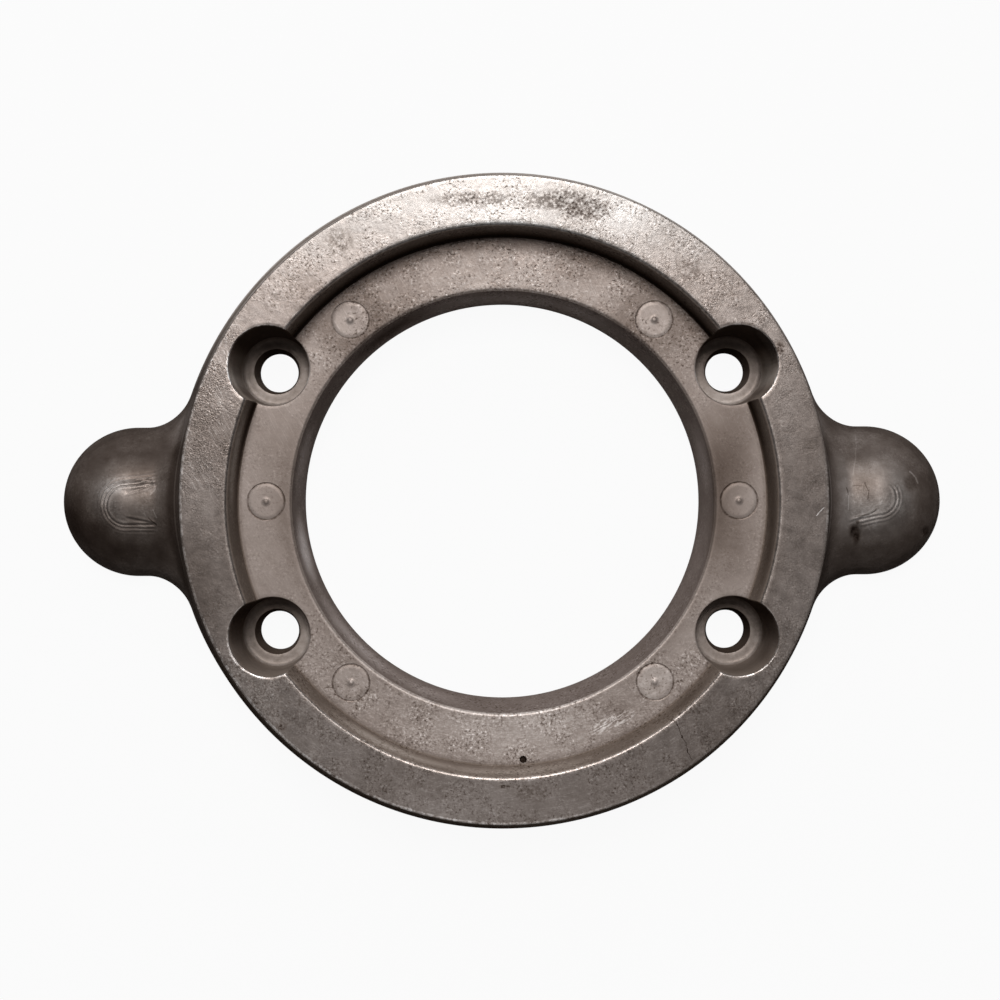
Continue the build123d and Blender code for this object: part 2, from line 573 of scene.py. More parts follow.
vertices, faces = buildCasting()
casting = meshFrom("anodeCasting", vertices, faces)
casting.data.calc_loop_triangles()
print("triangles", len(casting.data.loop_triangles))
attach(casting, "root")
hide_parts("anode_ring")


# Finish: one cast metal in zones, with grain, scratches, grime, worn edges and a few old marks, and with
# light and shade painted into its colour

finish = {
    # the zones: colour, metal and roughness
    "rim": ((0.205, 0.173, 0.156), 0.82, 0.34),
    # painted highlight: the rim's face towards +Y, where the highlight lies, in a paler, less warm colour
    "paintedHighlightRim": ((0.2, 0.182, 0.17), 0.82, 0.34),
    "ledge": ((0.29, 0.243, 0.218), 0.5, 0.48),
    "wall": ((0.195, 0.155, 0.13), 0.05, 0.6),
    "bore": ((0.185, 0.148, 0.132), 0.05, 0.6),
    "seat": ((0.28, 0.235, 0.208), 0.3, 0.5),
    "skin": ((0.075, 0.059, 0.051), 0.14, 0.55),
    # painted light and shade on the outer wall: lighter on its +Y side, darker on its -Y side
    "paintedLitWall": ((0.43, 0.385, 0.355), 0.3, 0.55),
    "paintedShadedWall": ((0.09, 0.068, 0.054), 0.05, 0.6),
    "ridge": ((0.2, 0.168, 0.15), 0.85, 0.44),
    "grazingTint": (0.1, 0.085, 0.075),  # dull at a glancing angle, as an oxide skin is
    "sheenLevel": 0.0,  # and with no clear reflection over it
    "warmth": (1.1, 1.17),  # dark metal turns warmer: powers of the factor for green and for blue
    "noises": {  # scale, detail and roughness, from broad to fine
        "cloud": (0.07, 2.0, 0.55),
        "patch": (0.2, 2.0, 0.6),
        "mottle": (0.42, 3.0, 0.62),
        "ragged": (0.95, 3.0, 0.7),
        "speck": (2.1, 1.0, 0.5),
        "grain": (3.1, 1.0, 0.6),
    },
    "scratches": [  # angle, length, distance apart, half width as a share of the noise, and offset
        (-62, 12.0, 0.8, 0.014, 3.0),
        (-56, 18.0, 1.3, 0.01, 40.0),
        (8, 10.0, 0.7, 0.012, 150.0),
    ],
    # between which radii or heights the zones begin or end
    "boreEdge": (39.0, 38.4),
    "wallTop": (57.0, 57.4),
    "wallFoot": (63.5, 62.5),
    "ridgeUp": (9.8, 12.7),
    "ridgeOut": (60.0, 64.5),
    "earOut": (58.5, 61.0),
    # how much each kind of mark darkens or lightens the metal
    # corners: painted shade in corners and hollows
    "darker": {"specks": 0.55, "grimeAndDentShade": 0.88, "corners": 1.0, "crack": 0.8},
    # edge: worn edges, partly painted highlight
    "lighter": {
        "edge": 1.1, "scratch": 0.55, "nick": 2.5, "burnish": 1.15, "paintedBlendHighlight": 0.8, "glints": 0.4, "paintedDomeHighlight": 0.5,
    },
    "grainDepth": 0.016,  # bump depths are in millimetres
    "waveDepth": 0.035,
    "speckDepth": 0.01,
}


def atHeight(height, half, spots):
    # spots with a place and half sizes seen from above, and an amount, that share a height and a half height
    return [((x, y, height), (halfX, halfY, half), amount) for x, y, halfX, halfY, amount in spots]


# grime on the rim's face, then painted shade in the dents on the right ear: place, half sizes, and how dark
# it gets
grimeAndDentShadeSpots = atHeight(20.0, 3.0, [
    (10.2, 53.1, 8.5, 2.4, 0.6), (14.5, 51.6, 6.5, 2.8, 0.7),
    (-4.5, 53.3, 10.5, 1.7, 0.42), (-28.7, 46.0, 3.5, 3.0, 0.3),
    (33.1, 40.7, 3.5, 3.0, 0.3), (49.0, 26.9, 1.2, 1.6, 0.85),
    (0.2, -50.4, 1.3, 0.5, 0.95), (5.0, -51.6, 4.0, 2.4, 0.35),
    (-39.2, -39.8, 1.3, 0.8, 0.8),
]) + [
    ((63.7, -5.4, 10), (1.5, 1.8, 6), 1.0),
    ((64.2, -6.4, 10), (1.0, 2.1, 6), 1.0),
    ((64.2, -4.0, 10), (0.6, 0.9, 5), 0.9),
    ((74.1, 3.0, 11), (2.0, 2.2, 6), 0.5),
    ((77.8, -5.7, 8), (1.1, 1.4, 6), 0.7),
]

# light and shade painted in broad patches with soft edges, partly tone: place, half sizes, and how much
# darker (below 0) or lighter (above 0) it is
paintedLightAndTone = {
    "ledge": atHeight(12.4, 3.0, [
        (41.2, 3.0, 8.5, 26.0, -0.66), (-19.0, 37.5, 16.0, 11.0, -0.28),
        (15.0, 42.0, 9.0, 5.5, -0.3), (33.0, 29.0, 9.0, 8.0, -0.25),
        (-40.0, 3.0, 8.0, 30.0, -0.28), (42.7, 0.0, 8.0, 10.0, 0.18),
        (0.0, 39.5, 24.0, 3.5, 0.1), (25.0, 34.5, 10.0, 8.0, -0.22),
        (0.0, -43.0, 30.0, 8.0, 0.2), (0.0, -39.5, 24.0, 3.0, 0.16),
        (20.7, -37.8, 4.0, 2.8, -0.3),
    ]),
    "rim": atHeight(20.0, 3.0, [
        (-54.0, -16.0, 7.0, 16.0, -0.28), (-52.0, 12.0, 9.0, 16.0, -0.22),
        (54.0, 8.0, 7.0, 18.0, -0.24), (38.0, -40.0, 12.0, 12.0, -0.18),
        (0.0, 50.5, 16.0, 3.5, 0.15), (21.0, 51.0, 9.0, 6.0, 0.35),
        (-34.0, 37.0, 7.0, 7.0, -0.22), (-8.0, -54.0, 18.0, 6.0, 0.16),
    ]),
    "boreBelow": atHeight(7.0, 5.0, [
        (-28.0, -26.0, 18.0, 18.0, 1.0), (-36.0, -9.0, 6.0, 9.0, 2.2),
        (-13.0, -35.0, 9.0, 6.0, 0.6),
    ]),
    "boreAbove": atHeight(7.0, 6.0, [
        (-20.0, 32.0, 17.0, 13.0, -0.75), (2.0, 36.0, 34.0, 14.0, 0.5),
        (-37.0, 9.0, 5.0, 10.0, 0.7), (37.0, 9.0, 5.0, 10.0, 0.45),
    ]),
    "step": atHeight(16.5, 4.0, [
        (0.0, -48.5, 30.0, 7.0, 0.7), (-22.0, -43.0, 17.0, 11.0, 1.3),
        (33.0, -36.0, 9.0, 9.0, -0.35), (-47.5, 10.0, 4.0, 18.0, 1.5),
        (47.0, -6.0, 5.0, 20.0, -0.45),
    ]),
    "seats": [
        ((40.5, 18.5, 5.0), (7.0, 5.5, 2.0), 0.5),
        ((48.0, -26.0, 12.0), (4.5, 8.0, 7.5), -0.35),
        ((42.0, -30.5, 12.0), (6.0, 3.5, 7.5), -0.3),
    ],
    "outerWall": atHeight(12.0, 9.0, [
        (57.5, 15.5, 6.0, 7.0, 2.0), (-58.0, 15.5, 6.0, 7.0, 2.6),
    ]),
    "rightEar": [  # these have their own heights
        ((71.0, 8.0, 10), (10.0, 6.5, 6), 0.5),
        ((65.5, 11.0, 7), (9.0, 5.5, 6), 0.85),
        ((61.0, 2.5, 13), (3.5, 15.0, 8), 0.9),
        ((65.2, 2.8, 13), (4.5, 4.5, 5), -0.5),
        ((72.5, 1.5, 12), (4.0, 7.0, 6), 0.65),
        ((66.5, 1.0, 13), (9.0, 9.0, 5), 0.15),
        ((65.5, -3.5, 12), (9.0, 5.0, 6), 0.6),
    ],
    "leftEar": [
        ((-65.4, 5.6, 12), (7.0, 3.8, 6), -0.5),
        ((-70.0, -8.0, 8), (12.0, 6.0, 9), -0.6),
        ((-78.0, -3.0, 7), (8.0, 8.0, 9), -0.75),
        ((-72.5, -4.2, 11), (4.5, 4.0, 6), -0.5),
        ((-70.5, 1.8, 13), (5.0, 3.8, 5), 0.6),
        ((-64.3, 0.8, 13), (3.5, 3.0, 5), -0.35),
        ((-61.5, -5.5, 10), (4.0, 11.0, 9), -0.4),
    ],
}
# painted shade: a band round the ledge along the bore, and one on the rim's face along the step, both darker
# at the sides
sideShadeBands = [(39.2, 2.6, 12.4, -0.16), (49.6, 2.2, 20.0, -0.14)]  # radius, half width, height and amount


def broadShade(mesh):
    # painted light and shade at each vertex: 1, plus each patch's amount times an S-curve that is 1 in its
    # middle and 0 at its half sizes; so many places would be too much for one material
    places = np.empty(len(mesh.vertices) * 3)
    mesh.vertices.foreach_get("co", places)
    places = places.reshape(-1, 3) * perMetre
    light = np.ones(len(places))
    for at, size, amount in sum(paintedLightAndTone.values(), []):
        light += amount * (1 - smooth(np.linalg.norm((places - at) / size, axis=1), 0.0, 1.0))
    radius = np.hypot(places[:, 0], places[:, 1])
    atSides = 1 - smooth(np.abs(places[:, 1]), 28.0, 42.0)
    for middle, half, level, amount in sideShadeBands:
        near = 1 - smooth(np.abs(radius - middle), 0.0, half)
        light += amount * near * atSides * (1 - smooth(np.abs(places[:, 2] - level), 0.2, 0.6))
    mesh.attributes.new("shade", "FLOAT", "POINT").data.foreach_set("value", light)


broadShade(casting.data)

# single marks: lines by start, end, half width and how far they waver, then ovals by place, half sizes, angle
# and the share of them that is full
singles = {
    "crack": ((30.4, -38.6), (33.2, -46.2), 0.08, 0.4),
    "nick": ((55.3, -2.8), (56.8, -1.2), 0.1, 0.1),
    "longLine": ((65.2, 12.4), (63.3, 4.2), 0.16, 0.12),
    "burnish": ((19.8, -40.0, 12.4), (5.5, 1.7, 3.0), radians(25), 0.45),
    # a painted highlight on the left ear's dome
    "paintedDomeHighlight": ((-70.3, 3.1, 12.5), (5.5, 2.2, 5.0), radians(12), 0.3),
}

# short lines on the ears where the mill's paths meet the blend: start, end, half width and brightness
earLines = [
    ((-63.6, 1.2), (-62.5, 2.4), 0.16, 0.5),
    ((-64.0, -2.8), (-62.4, -4.3), 0.16, -0.6),
    ((-63.1, -1.3), (-62.4, -3.0), 0.14, 0.7),
    ((-63.3, 4.6), (-62.6, 2.3), 0.14, 0.2),
    ((62.0, 2.5), (62.5, 1.0), 0.13, -0.5),
    ((62.5, 1.0), (62.3, -1.8), 0.13, 0.4),
    ((65.4, 3.3), (66.1, 1.6), 0.15, -0.5),
    ((66.1, 1.6), (65.8, 0.0), 0.15, -0.4),
    ((63.1, 2.6), (65.6, 2.6), 0.12, -0.35),
    ((73.9, 5.2), (75.2, 4.3), 0.2, 1.1),
    ((75.2, 4.3), (75.6, 3.0), 0.2, 1.1),
    ((63.4, -3.0), (66.4, -2.4), 0.12, -0.5),
    ((66.4, -2.4), (67.7, -1.4), 0.12, -0.45),
    ((66.2, -2.75), (68.0, -1.6), 0.12, 0.3),
]


class nodeBench:
    # adds nodes to one material: a socket given as a value is linked, anything else is set

    def __init__(self, tree):
        self.tree = tree

    def add(self, kind, values, **settings):
        node = self.tree.nodes.new("ShaderNode" + kind)
        for key, value in settings.items():
            setattr(node, key, value)
        for key, value in values.items():
            if isinstance(value, bpy.types.NodeSocket):
                self.tree.links.new(value, node.inputs[key])
            else:
                node.inputs[key].default_value = value
        return node

    def calc(self, operation, *values):
        return self.add("Math", dict(enumerate(values)), operation=operation).outputs[0]

    def joined(self, operation, values):
        # any number of values, taken into the result one after another
        result = values[0]
        for value in values[1:]:
            result = self.calc(operation, result, value)
        return result

    def total(self, *values):
        return self.joined("ADD", values)

    def product(self, *values):
        return self.joined("MULTIPLY", values)

    def most(self, *values):
        return self.joined("MAXIMUM", values)

    def fade(self, value, low, high, first=0.0, last=1.0):
        # a smooth step from first to last as the value goes from low to high, which may be the lower one
        inputs = {"Value": value, "From Min": low, "From Max": high, "To Min": first, "To Max": last}
        return self.add("MapRange", inputs, interpolation_type="SMOOTHSTEP").outputs["Result"]

    def spread(self, value, low, high):
        # a straight line: noise from 0 to 1 becomes a factor from low to high
        inputs = {"Value": value, "From Min": 0.25, "From Max": 0.75, "To Min": low, "To Max": high}
        return self.add("MapRange", inputs).outputs["Result"]

    def band(self, value, low, high, soft):
        # 1 between low and high, with soft ends outside them
        into, out = self.fade(value, low - soft, low), self.fade(value, high + soft, high)
        return self.product(into, out)

    def noise(self, vector, scale, detail, rough=0.5):
        inputs = {"Vector": vector, "Scale": scale, "Detail": detail, "Roughness": rough}
        return self.add("TexNoise", inputs).outputs["Fac"]

    def mix(self, share, first, second):
        # two numbers, or two colours, by the share of the second
        if not isinstance(second, tuple):
            return self.add("Mix", {0: share, 2: first, 3: second}).outputs[0]
        first = (*first, 1.0) if isinstance(first, tuple) else first
        return self.add("Mix", {0: share, 6: first, 7: (*second, 1.0)}, data_type="RGBA").outputs[2]

    def turned(self, vector, place, angle, size):
        # coordinates that start at a place, turned by an angle and divided by three sizes
        inputs = {"Vector": vector, "Location": place, "Rotation": (0, 0, angle), "Scale": size}
        return self.add("Mapping", inputs, vector_type="TEXTURE").outputs[0]

    def length(self, vector):
        return self.add("VectorMath", {0: vector}, operation="LENGTH").outputs["Value"]

    def spot(self, vector, place, size, angle=0.0, core=0.35):
        # 1 in the middle of an oval and 0 at its edge
        return self.fade(self.length(self.turned(vector, place, angle, size)), 1.0, core)

    def distance(self, vector, place):
        return self.add("VectorMath", {0: vector, 1: place}, operation="DISTANCE").outputs["Value"]

    def thinLines(self, field, width):
        # lines where a noise passes its middle value
        return self.fade(self.calc("ABSOLUTE", self.calc("SUBTRACT", field, 0.5)), width, 0.0)

    def scratches(self, vector, angle, long, apart, width, offset):
        # thin lines in a noise that is stretched along one direction
        stretched = self.turned(vector, (offset, 0, 0), angle, (long, apart, apart))
        return self.thinLines(self.noise(stretched, 1.0, 2.0, 0.55), width)

    def stroke(self, vector, wobble, start, end, width, reach):
        # one line between two places, seen from above, of a half width, that a noise bends by up to its reach
        dx, dy = end[0] - start[0], end[1] - start[1]
        middle = ((start[0] + end[0]) / 2, (start[1] + end[1]) / 2, 0)
        turned = self.turned(vector, middle, atan2(dy, dx), (1, 1, 1))
        local = self.add("SeparateXYZ", {0: turned}).outputs
        across = self.calc("ABSOLUTE", self.calc("MULTIPLY_ADD", wobble, reach, local[1]))
        half = np.hypot(dx, dy) / 2
        along = self.fade(self.calc("ABSOLUTE", local[0]), half, half * 0.85)
        return self.product(self.fade(across, width, width * 0.4), along)


def scratchLines(bench, mm, flat, radius):
    # fields of fine lines: straight ones by their angles, and last the ones that wind round the bore
    lines = []
    for angle, long, apart, width, offset in finish["scratches"]:
        lines.append(bench.scratches(mm, radians(angle), long, apart, width, offset))
    shrink = bench.calc("DIVIDE", 5.0, radius)
    unit = bench.add("VectorMath", {0: flat, "Scale": shrink}, operation="SCALE").outputs[0]
    windings = bench.add("CombineXYZ", {2: bench.calc("MULTIPLY", radius, 1.6)}).outputs[0]
    wound = bench.add("VectorMath", {0: unit, 1: windings}, operation="ADD").outputs[0]
    lines.append(bench.thinLines(bench.noise(wound, 1.0, 2.0, 0.6), 0.014))
    return lines


def millLinesAndPaintedCrests(bench, mm, x, y, height, wobble):
    # how much lighter or darker the ears are along the mill's lines: a long line down the right one, the
    # short lines, and painted highlight on the crests of the steps on the lit upper side of the left one,
    # with a painted dark line half a tread past each
    calc, fade, product, total = bench.calc, bench.fade, bench.product, bench.total
    shares = [product(bench.stroke(mm, wobble, *singles["longLine"]), 0.3)]
    for start, end, width, amount in earLines:
        shares.append(product(bench.stroke(mm, wobble, start, end, width, width), amount))
    marks = millMarks["left"]
    fromNose = calc("ADD", x, noseX)
    behind, past = calc("MAXIMUM", fromNose, 0.0), calc("MINIMUM", fromNose, 0.0)
    across = calc("MULTIPLY_ADD", behind, marks["tilt"], calc("SUBTRACT", y, marks["shift"]))
    away = bench.length(bench.add("CombineXYZ", {0: past, 1: across}).outputs[0])
    away = calc("DIVIDE", away, calc("MULTIPLY_ADD", behind, marks["widen"], 1.0))
    crests = []
    for at, amount in zip(marks["steps"], marks["paintedCrestLightAndShade"]):
        offset = calc("SUBTRACT", away, at)
        middle = calc("SUBTRACT", offset, marks["gap"] / 2)
        line = fade(calc("ABSOLUTE", offset), 0.2, 0.02)
        gap = fade(calc("ABSOLUTE", middle), 0.18, 0.02)
        crests += [product(line, amount), product(gap, -0.5 * amount)]
    paintedCrestLightAndShade = product(total(*crests), fade(across, 0.5, 2.0), fade(x, -62.4, -63.0))
    return product(total(*shares, paintedCrestLightAndShade), fade(height, 5.0, 7.0))


def castMaterial():
    material = bpy.data.materials.new("castZinc")
    material.use_nodes = True
    shader = material.node_tree.nodes["Principled BSDF"]
    bench = nodeBench(material.node_tree)
    calc, fade, band, spread = bench.calc, bench.fade, bench.band, bench.spread
    product, total, most = bench.product, bench.total, bench.most
    place = bench.add("TexCoord", {}).outputs["Object"]
    mm = bench.add("VectorMath", {0: place, "Scale": perMetre}, operation="SCALE").outputs[0]
    x, y, height = bench.add("SeparateXYZ", {0: mm}).outputs
    flat = bench.add("CombineXYZ", {0: x, 1: y}).outputs[0]
    radius = bench.length(flat)
    sidewise = calc("ABSOLUTE", y)
    folded = bench.add("VectorMath", {0: flat}, operation="ABSOLUTE").outputs[0]
    seatPlace = (seat["circle"] * np.cos(seat["angle"]), seat["circle"] * np.sin(seat["angle"]), 0)
    pitPlace = (pit["circle"] * np.cos(pit["angle"]), pit["circle"] * np.sin(pit["angle"]))
    markPlace = (mark["circle"] * np.cos(mark["spread"]), mark["circle"] * np.sin(mark["spread"]), 0)
    fromSeat = bench.distance(folded, seatPlace)
    fromSideMark = bench.distance(folded, (mark["circle"], 0, 0))
    fromMark = calc("MINIMUM", fromSideMark, bench.distance(folded, markPlace))
    noises = [bench.noise(mm, *noise) for noise in finish["noises"].values()]
    cloud, patch, mottle, ragged, speck, grain = noises

    # zones: the rim's face, the ledge, the drafted walls inside them, the screw seats, and the skin outside
    top, shelf, floor, disc = ring["height"], ring["ledgeHeight"], seat["height"], mark["radius"]
    rim = fade(height, top - 0.32, top - 0.1)
    ledge = product(
        band(height, shelf - 0.35, shelf + mark["pip"] + 0.04, 0.15),
        fade(radius, ring["stepFoot"] - 0.15, ring["stepFoot"] - 0.4),
    )
    face = most(rim, ledge)
    inside = fade(radius, ring["stepTop"] + 0.8, ring["stepTop"] + 0.4)
    cone = seat["radius"] - floor * np.tan(seat["draft"])
    seatWall = calc("MULTIPLY_ADD", height, -np.tan(seat["draft"]), fromSeat)  # the same all up its cone
    counterbore = fade(seatWall, cone + 0.24, cone + 0.06)
    cast = calc("SUBTRACT", 1.0, counterbore)  # all but the screw seats, which are smooth
    seatFloor = product(band(height, floor - 0.08, floor + 0.4, 0.1), fade(fromSeat, 6.9, 6.5))
    holeWall = product(fade(height, floor - 0.05, floor - 0.15), fade(fromSeat, 4.6, 4.4))
    bore = fade(radius, *finish["boreEdge"])
    outerWall = product(fade(radius, *finish["wallTop"]), fade(radius, *finish["wallFoot"]))
    ridge = product(fade(height, *finish["ridgeUp"]), fade(radius, *finish["ridgeOut"]))
    onEar = fade(radius, *finish["earOut"])
    zones = [  # the later ones lie over the earlier ones
        # painted light and shade: the outer wall lighter towards +Y and darker towards -Y
        ("paintedLitWall", product(outerWall, fade(y, 15.0, 45.0))),
        ("paintedShadedWall", product(outerWall, fade(y, -20.0, -34.0))),
        ("ridge", ridge),
        ("wall", inside),
        ("bore", bore),
        ("wall", counterbore),
        ("ledge", ledge),
        ("seat", seatFloor),
        ("rim", rim),
        # painted highlight: the rim's face towards +Y in the paler colour
        ("paintedHighlightRim", product(rim, fade(y, 36.0, 52.0))),
    ]
    surface = finish["skin"]
    for name, share in zones:
        surface = [bench.mix(share, under, over) for under, over in zip(surface, finish[name])]
    colour, metal, rough = surface

    # the casting is coarse in patches at the top and bottom, and smoother at the sides
    ends = product(face, fade(sidewise, 20.0, 34.0))
    patches = fade(patch, 0.36, 0.64, 0.4, 1.4)
    leftRim = product(fade(x, -44.0, -50.0), rim, fade(y, -4.0, 8.0))
    coarse = total(fade(sidewise, 12.0, 30.0, 0.45, 0.8), product(ledge, ends, 0.6), product(leftRim, 0.7))
    coarse = product(coarse, patches, cast, fade(fromMark, disc - 0.4, disc, 0.4, 1.0))
    specks = product(
        fade(speck, 0.41, 0.32), fade(patch, 0.36, 0.6, 0.1, 1.0),
        fade(sidewise, 12.0, 30.0, 0.3, 1.0), cast,
    )
    glints = product(fade(speck, 0.6, 0.7), coarse)

    # scratches: rubbed slantwise across the rim's sides, and wiped along and round it lower down
    steep, steeper, level, wound = scratchLines(bench, mm, flat, radius)
    rubbed = product(most(steep, steeper), most(product(leftRim, 1.6), fade(y, -25.0, 25.0, 0.1, 0.4)))
    wiped = product(most(level, wound), fade(y, -22.0, -36.0), 0.7)
    scratch = product(most(rubbed, wiped), face, fade(patch, 0.6, 0.45))

    # worn edges, partly painted highlight: along both sides of the rim's face, round the screw seats' mouths
    # and at the bore; the rim's outer edge and the bore's edge are lighter towards -Y
    fromRim = bench.distance(flat, (*ring["rimShift"], 0))
    rightHalf, besideEar = fade(x, 5.0, 30.0, 1.0, 0.1), fade(sidewise, 4.0, 9.0, 0.7, 0.0)
    outerEdge = product(
        band(fromRim, 57.05, 57.5, 0.22), fade(y, 10.0, 40.0, 0.8, 0.05),
        most(rightHalf, besideEar),
    )
    stepEdge = product(band(radius, 48.85, 49.35, 0.25), fade(y, -30.0, 30.0, 0.22, 0.25))
    seatEdge = product(band(fromSeat, 6.98, 7.2, 0.12), 0.9)
    rimEdges = product(rim, most(outerEdge, stepEdge, seatEdge))
    boreEdge = product(
        band(radius, 38.2, 38.8, 0.2), fade(height, shelf - 0.8, shelf - 0.3),
        fade(y, -30.0, -10.0, 0.4, 0.0),
    )
    edge = most(product(rimEdges, fade(ragged, 0.4, 0.6, 0.1, 1.3)), boreEdge)

    # the pin marks' discs are clean, and painted shade darkens the ledge round the upper two
    onDisc = fade(fromMark, disc - 0.05, disc - 0.2)
    halo = product(
        calc("SUBTRACT", fade(fromMark, 9.0, 4.5), onDisc), ledge,
        fade(y, 10.0, 30.0), fade(x, -10.0, 10.0, 0.36, 0.2),
    )
    clean = product(onDisc, ledge, fade(x, -30.0, 20.0, 0.06, 0.3))

    # painted shade in corners and hollows: at the step's foot, the step's shadow on the ledge next to it, up
    # the step wall, in the pin marks' grooves, where the ears begin, in the blow hole and in the screw holes;
    # then the grime and the painted shade in the ear's dents
    foot = product(band(radius, 47.4, 47.95, 0.55), band(height, shelf - 0.2, shelf + 0.4, 0.5), cast, 0.2)
    paintedStepShadow = product(band(radius, 46.8, 48.4, 2.6), ledge, fade(y, 8.0, 34.0, 0.0, 0.4))
    wallFoot = product(
        band(radius, 47.7, 49.0, 0.2), fade(height, top - 1.0, shelf), cast,
        fade(height, shelf - 0.2, shelf + 0.05), fade(y, -10.0, 20.0, 0.1, 0.88),
    )
    groove = product(
        band(fromMark, disc - 0.12, disc + 0.08, 0.16), ledge, fade(ragged, 0.4, 0.55, 0.55, 0.25),
    )
    blendShade = product(
        band(radius, 58.9, 59.7, 1.3), fade(height, 2.0, 8.0),
        fade(height, 18.0, 19.6, 0.45, 0.0), fade(x, -5.0, 5.0, 1.0, 0.3),
    )
    pitSize = (pit["radius"] * 1.1, pit["radius"] * 1.1, 2.0)
    paintedPitShade = product(bench.spot(mm, (*pitPlace, shelf - 0.5), pitSize, 0.0, 0.75), 0.85)
    paintedHoleShade = product(holeWall, fade(calc("ADD", x, y), -60.0, -20.0, 0.45, 0.62))
    corners = most(foot, paintedStepShadow, wallFoot, groove, blendShade, paintedPitShade, halo, paintedHoleShade)
    spots = [product(bench.spot(mm, at, size), dark) for at, size, dark in grimeAndDentShadeSpots]
    flecked = total(product(ragged, 0.6), product(speck, 0.4))
    grimeAndDentShade = product(most(*spots), fade(flecked, 0.42, 0.6, 1.0, bench.mix(onEar, 0.2, 0.75)))

    # the broad painted light and shade, then painted shadow along the seats' upper sides, more of it on their
    # walls than their floors, and painted light on their side walls
    shade = bench.add("Attribute", {}, attribute_name="shade").outputs["Fac"]
    upward = calc("MULTIPLY_ADD", calc("SIGN", y), -seatPlace[1], y)
    paintedSeatSideLight = product(
        band(upward, -1.5, 1.5, 3.0), calc("SUBTRACT", counterbore, seatFloor),
        fade(y, -20.0, 20.0, 0.6, 2.2),
    )
    upward = calc("MULTIPLY_ADD", seatFloor, -4.0, upward)
    shade = product(shade, most(cast, fade(upward, -6.5, 4.5, 1.0, 0.3)), calc("ADD", paintedSeatSideLight, 1.0))

    # single marks: a hairline crack, a nick, a burnished patch, a painted highlight line along the blend next
    # to the ears, the mill's lines, and a painted highlight on the left ear's dome
    wobble = spread(mottle, -1.0, 1.0)
    crack = product(rim, bench.stroke(mm, wobble, *singles["crack"]))
    nick = product(rim, bench.stroke(mm, wobble, *singles["nick"]))
    rubs = bench.noise(bench.turned(mm, (0, 0, 0), radians(34), (1.4, 0.3, 1)), 1.0, 2.0)
    burnish = product(bench.spot(mm, *singles["burnish"]), ledge, fade(rubs, 0.48, 0.56))
    # painted highlight: a thin lighter line along the blend next to the ears
    paintedBlendHighlight = product(band(radius, 58.72, 58.9, 0.14), fade(height, 18.0, 17.0), fade(sidewise, 14.5, 12.0))
    millAndPaintedCrests = millLinesAndPaintedCrests(bench, mm, x, y, height, wobble)
    paintedDomeHighlight = product(bench.spot(mm, *singles["paintedDomeHighlight"]), fade(ragged, 0.38, 0.62, 0.3, 1.2))
    cloudy = product(onEar, total(spread(patch, -0.18, 0.18), spread(mottle, -0.1, 0.1)))

    # everything that darkens, then everything that lightens, as factors of the zones' colour
    grit = total(product(spread(grain, -0.2, 0.2), coarse), product(spread(ragged, -0.22, 0.22), seatFloor))
    blots = product(spread(ragged, -0.26, 0.26), ends, patches)
    tone = product(spread(cloud, 0.88, 1.12), spread(mottle, 0.9, 1.1), total(1.0, grit, blots))
    for share, amount in zip((specks, grimeAndDentShade, corners, crack), finish["darker"].values()):
        tone = product(tone, calc("SUBTRACT", 1.0, product(share, amount)))
    bright = total(1.0, clean, millAndPaintedCrests, cloudy)
    for share, amount in zip((edge, scratch, nick, burnish, paintedBlendHighlight, glints, paintedDomeHighlight), finish["lighter"].values()):
        bright = total(bright, product(share, amount))
    factor = calc("MAXIMUM", product(tone, bright, shade), 0.01)
    green, blue = (calc("POWER", factor, power) for power in finish["warmth"])
    tint = bench.add("CombineXYZ", {0: factor, 1: green, 2: blue}).outputs[0]
    colour = bench.add("VectorMath", {0: colour, 1: tint}, operation="MULTIPLY").outputs[0]
    rough = total(
        rough, spread(mottle, -0.05, 0.05), product(spread(grain, -0.06, 0.06), coarse),
        product(specks, 0.12), product(grimeAndDentShade, 0.2), product(burnish, -0.12),
    )

    # relief, in millimetres: only grain, waves and specks, so that the bump stays quick
    relief = total(
        product(grain, coarse, finish["grainDepth"]),
        product(mottle, finish["waveDepth"]),
        product(speck, coarse, finish["speckDepth"]),
    )
    bump = bench.add("Bump", {"Distance": 1 / perMetre, "Height": relief, "Strength": 1.0})

    results = {"Base Color": colour, "Metallic": metal, "Roughness": rough, "Normal": bump.outputs[0]}
    for socket, result in results.items():
        material.node_tree.links.new(result, shader.inputs[socket])
    shader.inputs["Specular Tint"].default_value = (*finish["grazingTint"], 1)
    shader.inputs["Specular IOR Level"].default_value = finish["sheenLevel"]
    return material


casting.data.materials.append(castMaterial())
print("finish made")

# Stage

stage = {
    "floorSize": 30.0,
    "floorColor": (0.45, 0.45, 0.45),
    "floorGlow": 0.94,  # share of plain white that the camera and reflections see in the floor
    "skyStrength": 0.06,
    "lights": {  # place and size in metres, and power; each one points at the origin
        "keySoftbox": ((-0.035, 0.42, 0.95), (0.34, 0.46), 8.4),
        "window": ((-0.1, 1.0, 0.6), (1.4, 0.3), 4.0),
        "lowSoftbox": ((0.0, -0.36, 1.0), (0.3, 0.2), 0.45),
    },
    "lens": 65.27,
    "sensorWidth": 36.0,
    "distance": 0.33003,
    "aimHeight": 0.01,
    "aside": (0.000477, -0.0002),
    "tilt": (radians(-0.023), radians(0.309), radians(0.121)),
}


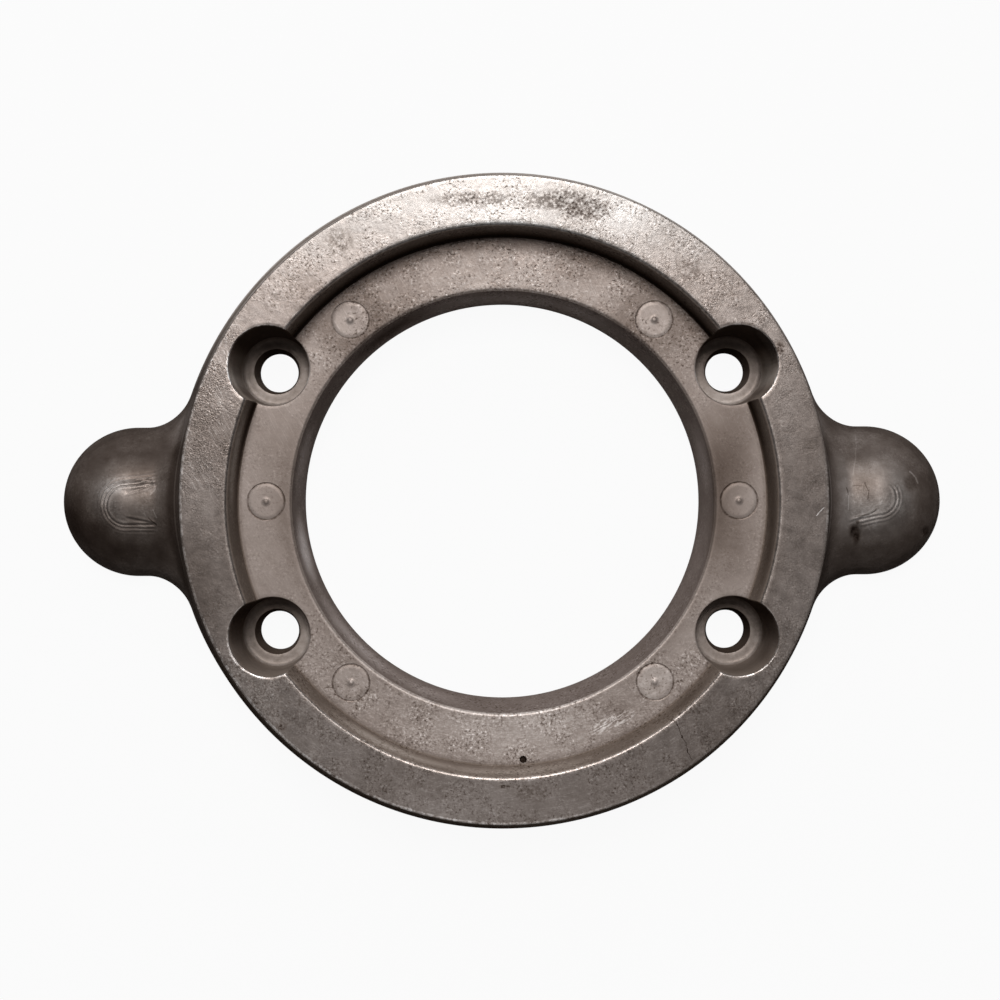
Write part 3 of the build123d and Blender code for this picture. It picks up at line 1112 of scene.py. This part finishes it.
def buildFloor():
    mesh = bpy.data.meshes.new("floor")
    s = stage["floorSize"] / 2
    mesh.from_pydata([(-s, -s, 0), (s, -s, 0), (s, s, 0), (-s, s, 0)], [], [(0, 1, 2, 3)])
    floor = bpy.data.objects.new("floor", mesh)
    material = bpy.data.materials.new("paleFloor")
    material.use_nodes = True
    material.node_tree.nodes.clear()
    bench = nodeBench(material.node_tree)
    matte = bench.add("BsdfDiffuse", {"Color": (*stage["floorColor"], 1)}).outputs[0]
    white = bench.add("Emission", {"Color": (1, 1, 1, 1), "Strength": 1.0}).outputs[0]
    rays = bench.add("LightPath", {}).outputs
    seen = bench.most(rays["Is Camera Ray"], rays["Is Glossy Ray"], rays["Is Transmission Ray"])
    share = bench.calc("MULTIPLY", seen, stage["floorGlow"])
    mixed = bench.add("MixShader", {0: share, 1: matte, 2: white}).outputs[0]
    bench.add("OutputMaterial", {"Surface": mixed})
    mesh.materials.append(material)
    bpy.context.scene.collection.objects.link(floor)


def areaLight(name, place, size, power):
    light = bpy.data.lights.new(name, "AREA")
    light.shape = "RECTANGLE"
    light.size, light.size_y = size
    light.energy = power
    lamp = bpy.data.objects.new(name, light)
    bpy.context.scene.collection.objects.link(lamp)
    lamp.location = place
    direction = -lamp.location
    lamp.rotation_euler = direction.to_track_quat("-Z", "Y").to_euler()


buildFloor()
for name, (place, size, power) in stage["lights"].items():
    areaLight(name, place, size, power)
world = bpy.data.worlds.new("world")
bpy.context.scene.world = world
world.use_nodes = True
world.node_tree.nodes["Background"].inputs["Color"].default_value = (1, 1, 1, 1)
world.node_tree.nodes["Background"].inputs["Strength"].default_value = stage["skyStrength"]


def buildCamera():
    # straight above the bore: the part in the photo is turned by three small angles and moved aside, and the
    # camera takes both on itself
    data = bpy.data.cameras.new("camera")
    data.lens, data.sensor_width = stage["lens"], stage["sensorWidth"]
    camera = bpy.data.objects.new("camera", data)
    bpy.context.scene.collection.objects.link(camera)
    turns = [Matrix.Rotation(a, 3, axis) for a, axis in zip(stage["tilt"], "XYZ")]
    back = (turns[0] @ turns[1] @ turns[2]).transposed()
    place = Vector((0, 0, stage["aimHeight"])) - back @ Vector((*stage["aside"], -stage["distance"]))
    camera.matrix_world = Matrix.Translation(place) @ back.to_4x4()
    bpy.context.scene.camera = camera


buildCamera()
bpy.context.scene.view_settings.view_transform = "Standard"
